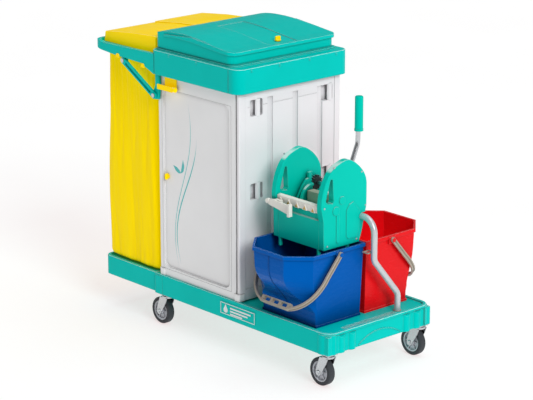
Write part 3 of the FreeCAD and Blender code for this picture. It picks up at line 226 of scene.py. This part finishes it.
def metal(name, colour, rough, brushed=(40.0, 40.0, 2.0), metallic=1.0, pits=0.06):
    """Plated, brushed or silver-coated metal, with fine lines and darker specks."""
    g = Graph(name)
    lines = g.noise(30.0, 5.0, stretch=brushed)
    base = g.ramp(lines, [(0.3, shade(colour, 0.86)), (0.7, colour)])
    specks = g.span(g.noise(260.0, 3.0), 0.0, 1.0, 0.62, 0.74)
    base = g.mix(g.math("MULTIPLY", specks, pits * 4), base, shade(colour, 0.45))
    near, rounded = g.worn_edges(0.0008)
    base = g.mix(g.math("MULTIPLY", near, 0.25), base, blended(colour, WHITE, 0.5))
    roughness = g.span(g.noise(70.0, 4.0), rough - 0.06, rough + 0.10)
    normal = g.bump(lines, 0.05, 0.0005, g.bump(g.noise(420.0, 2.0), 0.05, 0.0005, rounded))
    return g.done(base, roughness, normal, Metallic=metallic)


THREAD_SCALE = 330.0      # of the wave textures that draw the cloth's threads


def woven(name, colour):
    """Coated woven polyester: a fine plain weave under a thin sheen, streaked lengthways, with
    painted shade in its creases and a painted glow.
    """
    g = Graph(name)
    streaks = g.noise(22.0, 5.0, stretch=(1.0, 1.0, 0.07))
    cloud = g.noise(5.0, 4.0)
    base = g.ramp(streaks, [(0.25, shade(colour, 0.88)), (0.5, colour), (0.8, shade(colour, 1.04))])
    base = g.mix(g.span(cloud, 0.0, 0.35), base, shade(colour, 0.92))
    # painted shade: darker where the cloth is shut in, in creases and corners
    base = g.mix(g.math("MULTIPLY", g.shut_in(0.02, 0.3, 0.95), 0.5), base, shade(colour, 0.35))
    across = g.add("ShaderNodeTexWave", wave_type="BANDS", bands_direction="Z")
    along = g.add("ShaderNodeTexWave", wave_type="BANDS", bands_direction="DIAGONAL")
    for threads in (across, along):
        threads.inputs["Scale"].default_value = THREAD_SCALE
        threads.inputs["Distortion"].default_value = 0.6
        g.join(g.coord, threads.inputs["Vector"])
    weave = g.math("MULTIPLY", across.outputs["Fac"], along.outputs["Fac"])
    crumple = g.noise(34.0, 4.0, stretch=(1.0, 1.0, 0.45))
    normal = g.bump(crumple, 0.30, 0.004, g.bump(weave, 0.10, 0.0004))
    rough = g.span(g.noise(90.0, 3.0), 0.46, 0.62)
    # the emission is painted light that brightens the cloth
    return g.done(base, rough, normal, Specular_IOR_Level=0.08, Specular_Tint=colour,
                  Sheen_Weight=0.03, Sheen_Roughness=0.4, Emission_Color=colour,
                  Emission_Strength=0.19)


TEAL = srgb(0, 205, 195)
TEAL_GREEN = srgb(0, 203, 183)
PALE = srgb(240, 239, 242)
PALE_FRONT = srgb(247, 247, 248)
YELLOW = srgb(255, 222, 0)
YELLOW_MOULDED = srgb(246, 210, 0)
BLUE = srgb(0, 94, 184)
RED = srgb(230, 14, 22)
GREY = srgb(178, 167, 152)
NYLON = srgb(244, 242, 234)
PAD = srgb(196, 198, 178)
GEAR = srgb(38, 58, 58)
WHEEL = srgb(212, 215, 222)
TYRE = srgb(66, 69, 73)
STEEL = srgb(206, 208, 211)
SILVER = srgb(214, 217, 220)
ZINC = srgb(206, 209, 212)
BRASS = srgb(205, 170, 96)
PRINT_WHITE = srgb(240, 246, 246)

TEAL_MOULDED = dict(rough=0.34, wear=0.18, gloss=0.07)
PALE_MOULDED = dict(wear=0.15, dirt=0.03)
# hollow sets the painted shade in corners, rim a painted highlight line, glow painted light
PLASTICS = {
    "teal_plastic": dict(colour=TEAL, edge=0.0036, painted_highlight=0.90, **TEAL_MOULDED),
    "teal_wringer": dict(colour=TEAL_GREEN, rough=0.36, grain=0.14, wear=0.2, edge=0.0028, painted_highlight=0.65,
                         painted_shade=(0.03, 0.6)),
    "teal_grip": dict(colour=TEAL_GREEN, rough=0.5, grain=0.3, grain_size=1.6),
    "pale_panel": dict(colour=PALE_FRONT, rough=0.42, painted_shade=(0.018, 0.75), **PALE_MOULDED),
    "pale_door": dict(colour=PALE_FRONT, rough=0.40, painted_shade=(0.018, 0.75), **PALE_MOULDED),
    "pale_wall": dict(colour=PALE, rough=0.36, painted_shade=(0.024, 0.55), gloss=0.15, **PALE_MOULDED),
    "yellow_plastic": dict(colour=YELLOW_MOULDED, rough=0.32, wear=0.15, edge=0.002, painted_highlight=0.45,
                           glow=0.32),
    "blue_plastic": dict(colour=BLUE, rough=0.24, wear=0.05, edge=0.0028, gloss=0.08, painted_highlight=0.55,
                         painted_shade=(0.16, 0.97)),
    "red_plastic": dict(colour=RED, rough=0.22, wear=0.10, edge=0.0028, gloss=0.35, painted_highlight=0.55,
                        painted_shade=(0.05, 0.35), glow=0.09),
    "grey_plastic": dict(colour=GREY, rough=0.30, gloss=0.4, painted_highlight=0.2),
    "white_nylon": dict(colour=NYLON, rough=0.40, wear=0.1),
    "pale_pad": dict(colour=PAD, rough=0.45, grain=0.25, grain_size=2.0),
    "dark_plastic": dict(colour=GEAR, rough=0.35, gloss=0.4, painted_highlight=0.4),
    "wheel_plastic": dict(colour=WHEEL, rough=0.38, wear=0.2, gloss=0.3, painted_shade=(0.012, 0.7)),
    "label": dict(colour=TEAL, rough=0.35, painted_highlight=0.5),
    "tyre_rubber": dict(colour=TYRE, rough=0.55, grain=0.4, grain_size=0.8, wear=0.12, gloss=0.3),
}
METALS = {
    "steel_tube": dict(colour=STEEL, rough=0.20),
    "silver_tube": dict(colour=SILVER, rough=0.36, metallic=0.45),
    "zinc": dict(colour=ZINC, rough=0.30, brushed=(8.0, 8.0, 8.0), pits=0.10),
}
materials = {slot: plastic("look_" + slot, **look) for slot, look in PLASTICS.items()}
materials.update({slot: metal("look_" + slot, **look) for slot, look in METALS.items()})
materials["yellow_fabric"] = woven("look_yellow_fabric", YELLOW)
# the struts slope, so the painted highlight line along upper edges would cover their whole length
sloping_teal = plastic("look_sloping_teal", TEAL, painted_shade=(0.014, 0.6), **TEAL_MOULDED)
slot_of = {s["node"]: s["material_slot"] for s in frame["record"]["subparts"]}
for node, piece in NODES.items():
    piece.data.materials.clear()
    piece.data.materials.append(sloping_teal if node == "struts" else materials[slot_of[node]])


# ---- mesh helpers -------------------------------------------------------------------------
def linked(name, data, material):
    """A mesh put into the scene as an object with one material."""
    piece = bpy.data.objects.new(name, data)
    bpy.context.scene.collection.objects.link(piece)
    data.materials.append(material)
    return piece


def mesh_piece(name, vertices, faces, material, smooth=True):
    data = bpy.data.meshes.new(name)
    data.from_pydata([tuple(v) for v in vertices], [], faces)
    data.validate()
    piece = linked(name, data, material)
    if smooth:
        data.polygons.foreach_set("use_smooth", [True] * len(data.polygons))
    return piece


def apply_modifier(obj, kind, **values):
    """Puts a modifier's result in the place of the object's mesh."""
    modifier = obj.modifiers.new(kind.title(), kind)
    for key, value in values.items():
        setattr(modifier, key, value)
    depsgraph = bpy.context.evaluated_depsgraph_get()
    baked = bpy.data.meshes.new_from_object(obj.evaluated_get(depsgraph))
    obj.modifiers.clear()
    old = obj.data
    obj.data = baked
    bpy.data.meshes.remove(old)


def curve_through(points, steps):
    """Points along a smooth curve through the given ones (Catmull-Rom)."""
    ends = [points[0] * 2 - points[1]] + list(points) + [points[-1] * 2 - points[-2]]
    out = []
    for a, b, c, d in zip(ends, ends[1:], ends[2:], ends[3:]):
        for i in range(steps):
            t = i / steps
            out.append(((b * 2) + (c - a) * t + (a * 2 - b * 5 + c * 4 - d) * t * t
                        + (b * 3 - a - c * 3 + d) * t ** 3) / 2)
    out.append(Vector(points[-1]))
    return out


# ---- sack ---------------------------------------------------------------------------------
SACK_COLUMNS, SACK_ROWS = 420, 110
SACK_Z0, SACK_Z1 = 200.0, 998.0
SACK_X_LIMIT = 322.5      # short of the locker's side wall


def sack_outline(z):
    """The sack's x range, half width and corner radius at a height, in millimetres."""
    t = min(1.0, max(0.0, (z - 420.0) / 510.0))
    low = (6.0, 317.0, 234.0, 34.0)
    high = (18.0, 288.0, 224.0, 16.0)
    x0, x1, half, radius = (a + (b - a) * t for a, b in zip(low, high))
    tuck = max(0.0, 1.0 - (z - SACK_Z0) / 26.0)
    inset = 16.0 * (1.0 - math.sqrt(max(0.0, 1.0 - tuck * tuck)))
    return x0 + inset, x1 - inset, half - inset, radius


def outline_point(share, x0, x1, half, radius):
    """The point a share of the way round a rounded rectangle, and its outward direction."""
    width, depth = x1 - x0 - 2 * radius, 2 * half - 2 * radius
    quarter = math.pi * radius / 2
    runs = [depth, quarter, width, quarter, depth, quarter, width, quarter]
    left = share * sum(runs)
    starts = [(x0, half - radius), (x0 + radius, -half), (x1, -half + radius), (x1 - radius, half)]
    centres = [(x0 + radius, -half + radius), (x1 - radius, -half + radius),
               (x1 - radius, half - radius), (x0 + radius, half - radius)]
    index = 0
    while left > runs[index] and index < 7:
        left -= runs[index]
        index += 1
    side, on_corner = divmod(index, 2)
    heading = math.pi + side * math.pi / 2
    if on_corner:
        angle = heading + left / radius
        out_x, out_y = math.cos(angle), math.sin(angle)
        centre_x, centre_y = centres[side]
        return centre_x + radius * out_x, centre_y + radius * out_y, out_x, out_y
    start_x, start_y = starts[side]
    along = heading + math.pi / 2
    return (start_x + math.cos(along) * left, start_y + math.sin(along) * left,
            math.cos(heading), math.sin(heading))


def fold_depth(round_at, z):
    """How far the cloth stands out of its mean surface, in millimetres."""
    up = (z - SACK_Z0) / (SACK_Z1 - SACK_Z0)
    p = Vector((math.cos(round_at * math.tau), math.sin(round_at * math.tau), 0))
    broad = noise.noise(p * 3.2 + Vector((3.1, 0, up * 1.1)))
    pleats = noise.noise(p * 9.0 + Vector((0, 5.0, up * 0.9 + 4.0)))
    fine = noise.noise(p * 21.0 + Vector((9.0, 0, up * 1.6)))
    crease = 1.0 - abs(noise.noise(p * 6.5 + Vector((2.0, 7.0, up * 1.3)))) * 3.0
    rumple = noise.noise(p * 13.0 + Vector((0, 0, up * 13.0)))
    gather = 0.35 + 0.65 * up ** 2
    low = math.exp(-up * 9.0)
    return (4.6 * broad + 4.2 * gather * pleats + 2.2 * gather * fine
            - 2.4 * max(0.0, crease) ** 2 + 2.6 * low * rumple)


def make_sack():
    verts, faces = [], []
    for row in range(SACK_ROWS + 1):
        up = row / SACK_ROWS
        z = SACK_Z0 + (SACK_Z1 - SACK_Z0) * up
        shape = sack_outline(z)
        bulge = 5.0 * math.sin(math.pi * min(1.0, up * 1.25)) ** 2
        for column in range(SACK_COLUMNS):
            share = column / SACK_COLUMNS
            x, y, nx, ny = outline_point(share, *shape)
            push = fold_depth(share, z) + bulge * (1.0 - 0.9 * abs(nx))
            push *= min(1.0, (1.0 - up) * 14.0 + 0.25)
            verts.append(at(min(x + nx * push, SACK_X_LIMIT), y + ny * push, z))
    for row in range(SACK_ROWS):
        for column in range(SACK_COLUMNS):
            a = row * SACK_COLUMNS + column
            b = row * SACK_COLUMNS + (column + 1) % SACK_COLUMNS
            faces.append((a, b, b + SACK_COLUMNS, a + SACK_COLUMNS))
    faces.append(tuple(reversed(range(SACK_COLUMNS))))
    sack = mesh_piece("sack", verts, faces, materials["yellow_fabric"])
    apply_modifier(sack, "SOLIDIFY", thickness=0.0014, offset=-1.0)
    return sack


sack = make_sack()
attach(sack, "base")
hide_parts("bag")


# ---- printed motif on the door ------------------------------------------------------------
DOOR_FACE_Y = -234.0      # the door's sunk field
PRINT_BACK, PRINT_FRONT = 0.02, 0.25      # how far the print's two faces stand before it


def fading_print(name, colour, fade_low, fade_high):
    """A print that thins out towards its two ends, given as heights in millimetres."""
    g = Graph(name)
    split = g.add("ShaderNodeSeparateXYZ")
    g.join(g.coord, split.inputs[0])
    z = split.outputs["Z"]
    rise = g.span(z, 0.0, 1.0, fade_low[0] / 1000, fade_low[1] / 1000)
    fall = g.span(z, 1.0, 0.0, fade_high[0] / 1000, fade_high[1] / 1000)
    strength = g.math("MULTIPLY", rise, fall)
    speckle = g.span(g.noise(900.0, 2.0), 0.85, 1.0)
    base = g.mix(g.math("MULTIPLY", strength, speckle), PALE, colour)
    normal = g.bump(g.noise(700.0, 2.0), 0.08, 0.0003)
    return g.done(base, g.span(g.noise(60.0), 0.30, 0.42), normal)


def ribbon(name, points, widths, material):
    """A flat printed band through (x, z) points on the door's field."""
    line = curve_through([Vector((x, z)) for x, z in points], 16)
    verts, faces = [], []
    for i, p in enumerate(line):
        share = i / (len(line) - 1)
        ahead = line[min(i + 1, len(line) - 1)] - line[max(i - 1, 0)]
        side = Vector((-ahead.y, ahead.x)).normalized()
        half = np.interp(share, np.linspace(0, 1, len(widths)), widths) / 2
        for sign in (-1, 1):
            q = p + side * half * sign
            for depth in (PRINT_BACK, PRINT_FRONT):
                verts.append(at(q.x, DOOR_FACE_Y - depth, q.y))
    for i in range(len(line) - 1):
        a, b = i * 4, i * 4 + 4
        faces += [(a + 1, b + 1, b + 3, a + 3), (a, a + 2, b + 2, b),
                  (a, b, b + 1, a + 1), (a + 2, a + 3, b + 3, b + 2)]
    end = (len(line) - 1) * 4
    faces += [(0, 1, 3, 2), (end, end + 2, end + 3, end + 1)]
    piece = mesh_piece(name, verts, faces, material, smooth=False)
    bm = bmesh.new()
    bm.from_mesh(piece.data)
    bmesh.ops.recalc_face_normals(bm, faces=bm.faces)
    bm.to_mesh(piece.data)
    bm.free()
    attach(piece, "door")
    return piece


TINT = srgb(20, 190, 190)
PALE_TINT = srgb(120, 205, 205)


def wave(z_top, z_low, middle, swing, trough, crest):
    """A plain sine wave down the door, leftmost at height `trough` and rightmost at `crest`."""
    heights = np.linspace(z_top, z_low, 12)
    return [(middle - swing * math.cos(math.pi * (z - trough) / (crest - trough)), z)
            for z in heights]


ribbon("motif_stem_pale",
       wave(z_top=858.0, z_low=250.0, middle=446.0, swing=45.0, trough=362.0, crest=760.0),
       (0.6, 2.4, 3.2, 3.4, 3.2, 2.6, 0.8),
       fading_print("print_pale", PALE_TINT, (245, 330), (780, 860)))
ribbon("motif_stem_strong",
       wave(z_top=745.0, z_low=258.0, middle=467.0, swing=56.0, trough=365.0, crest=745.0),
       (0.6, 3.2, 4.8, 5.0, 4.2, 3.0, 0.8),
       fading_print("print_strong", TINT, (250, 340), (660, 745)))
LEAF = fading_print("print_leaf", TINT, (500, 510), (700, 710))
ribbon("motif_leaf_left", [(434, 599), (424, 603), (410, 611), (395, 620)],
       (3.0, 14.0, 15.0, 1.0), LEAF)
ribbon("motif_leaf_right", [(435, 599), (444, 611), (448, 628), (448, 650)],
       (2.0, 13.0, 13.0, 0.8), LEAF)


# ---- generic label on the base's skirt ----------------------------------------------------
def flat_shapes(name, outlines, y_back, y_front, material, body):
    """Closed (x, z) outlines raised between two y planes."""
    bm = bmesh.new()
    for outline in outlines:
        rings = []
        for y in (y_back, y_front):
            rings.append([bm.verts.new(at(x, y, z)) for x, z in outline])
        count = len(outline)
        for i in range(count):
            j = (i + 1) % count
            bm.faces.new((rings[0][i], rings[0][j], rings[1][j], rings[1][i]))
        bm.faces.new(rings[0])
        bm.faces.new(rings[1])
    bmesh.ops.recalc_face_normals(bm, faces=bm.faces)
    data = bpy.data.meshes.new(name)
    bm.to_mesh(data)
    bm.free()
    piece = linked(name, data, material)
    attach(piece, body)
    return piece


def bar(x0, x1, z0, z1):
    return [(x0, z0), (x1, z0), (x1, z1), (x0, z1)]


def border(x0, x1, z0, z1, line):
    """Four bars of one width round the inside of a rectangle."""
    return [bar(x0, x1, z0, z0 + line), bar(x0, x1, z1 - line, z1),
            bar(x0, x0 + line, z0 + line, z1 - line), bar(x1 - line, x1, z0 + line, z1 - line)]


def drop(x, z, size):
    """A water drop: a round bottom drawn up to a point."""
    points = []
    for i in range(28):
        a = -math.pi / 2 + math.tau * i / 28
        stretch = 1.0 + 0.9 * max(0.0, math.sin(a)) ** 3
        pinch = 1.0 - 0.55 * max(0.0, math.sin(a)) ** 2
        points.append((x + size * math.cos(a) * pinch, z + size * math.sin(a) * stretch))
    return points


LABEL_PRINT = plastic("print_white", PRINT_WHITE, 0.35, wear=0.0, dirt=0.02)
TEXT_X, TEXT_BAR = 718, 6     # where the bars that stand for text start, and their height
marks = border(667, 847, 139, 181, line=2.5) + [drop(694, 156, size=11)]
marks += [bar(TEXT_X, TEXT_X + length, z, z + TEXT_BAR)
          for length, z in ((108, 164), (92, 153), (64, 142.5))]
flat_shapes("label_print", marks, y_back=-250.8, y_front=-251.6, material=LABEL_PRINT,
            body="base")


# ---- brass pips on the comb bar -------------------------------------------------------------
COMB_MIDDLE, COMB_STEP = 988.5, 40.3
PIP_HALF, PIP_Z0, PIP_Z1 = 7, 586.0, 598.5
pips = [[(x - PIP_HALF, PIP_Z0), (x + PIP_HALF, PIP_Z0), (x, PIP_Z1)]
        for x in (COMB_MIDDLE + COMB_STEP * k for k in range(-2, 3))]
flat_shapes("comb_pips", pips, y_back=-186.9, y_front=-187.8,
            material=metal("brass", BRASS, 0.35), body="base")


# ---- stage, light and camera --------------------------------------------------------------
FLOOR_DARK = srgb(153, 182, 182)
FLOOR_LIGHT = srgb(157, 186, 186)
FLOOR_GLOW = (1.0, 0.83, 0.83, 1.0)
FLOOR_HALF, FLOOR_Z = 40, -0.0006


def floor_material():
    """Pale paper: white where it is lit, and its own glow keeps the shadows light."""
    g = Graph("floor_paper")
    tone = g.ramp(g.noise(1.2, 3.0), [(0.3, FLOOR_DARK), (0.7, FLOOR_LIGHT)])
    normal = g.bump(g.noise(300.0, 2.0), 0.05, 0.001)
    return g.done(tone, None, normal, Roughness=0.9, Specular_IOR_Level=0.1,
                  Emission_Color=FLOOR_GLOW, Emission_Strength=0.73)


floor_corners = [(FLOOR_HALF * x, FLOOR_HALF * y, FLOOR_Z)
                 for x, y in ((-1, -1), (1, -1), (1, 1), (-1, 1))]
floor = mesh_piece("floor", floor_corners, [(0, 1, 2, 3)], floor_material(), smooth=False)


def sun(name, azimuth, elevation, strength, angle):
    """A soft distant light that comes from the given direction, in degrees."""
    data = bpy.data.lights.new(name, "SUN")
    data.energy = strength
    data.angle = math.radians(angle)
    lamp = bpy.data.objects.new(name, data)
    a, e = math.radians(azimuth), math.radians(elevation)
    towards = Vector((math.cos(e) * math.cos(a), math.cos(e) * math.sin(a), math.sin(e)))
    lamp.rotation_euler = (-towards).to_track_quat("-Z", "Y").to_euler()
    lamp.location = towards * 6
    bpy.context.scene.collection.objects.link(lamp)


sun("key_light", azimuth=-14.0, elevation=32.0, strength=1.65, angle=26.0)
sun("top_light", azimuth=60.0, elevation=74.0, strength=1.08, angle=50.0)

WORLD_STRENGTH = 0.22
world = bpy.data.worlds.new("studio")
bpy.context.scene.world = world
world.use_nodes = True
background = world.node_tree.nodes["Background"]
background.inputs["Color"].default_value = WHITE
background.inputs["Strength"].default_value = WORLD_STRENGTH

CAMERA_PLACE = Vector((5.5184, -4.9631, 2.6721))      # metres, in the frame
CAMERA_TARGET = Vector((0.0660, -0.0286, 0.5086))
CAMERA_LENS = 145.45      # millimetres, on a sensor 36 mm wide
camera_data = bpy.data.cameras.new("camera")
camera_data.lens = CAMERA_LENS
camera_data.sensor_width = 36.0
camera_data.clip_end = 200.0
camera = bpy.data.objects.new("camera", camera_data)
bpy.context.scene.collection.objects.link(camera)
camera.location = CAMERA_PLACE
camera.rotation_euler = (CAMERA_TARGET - CAMERA_PLACE).to_track_quat("-Z", "Y").to_euler()
bpy.context.scene.camera = camera
bpy.context.scene.view_settings.view_transform = "Standard"
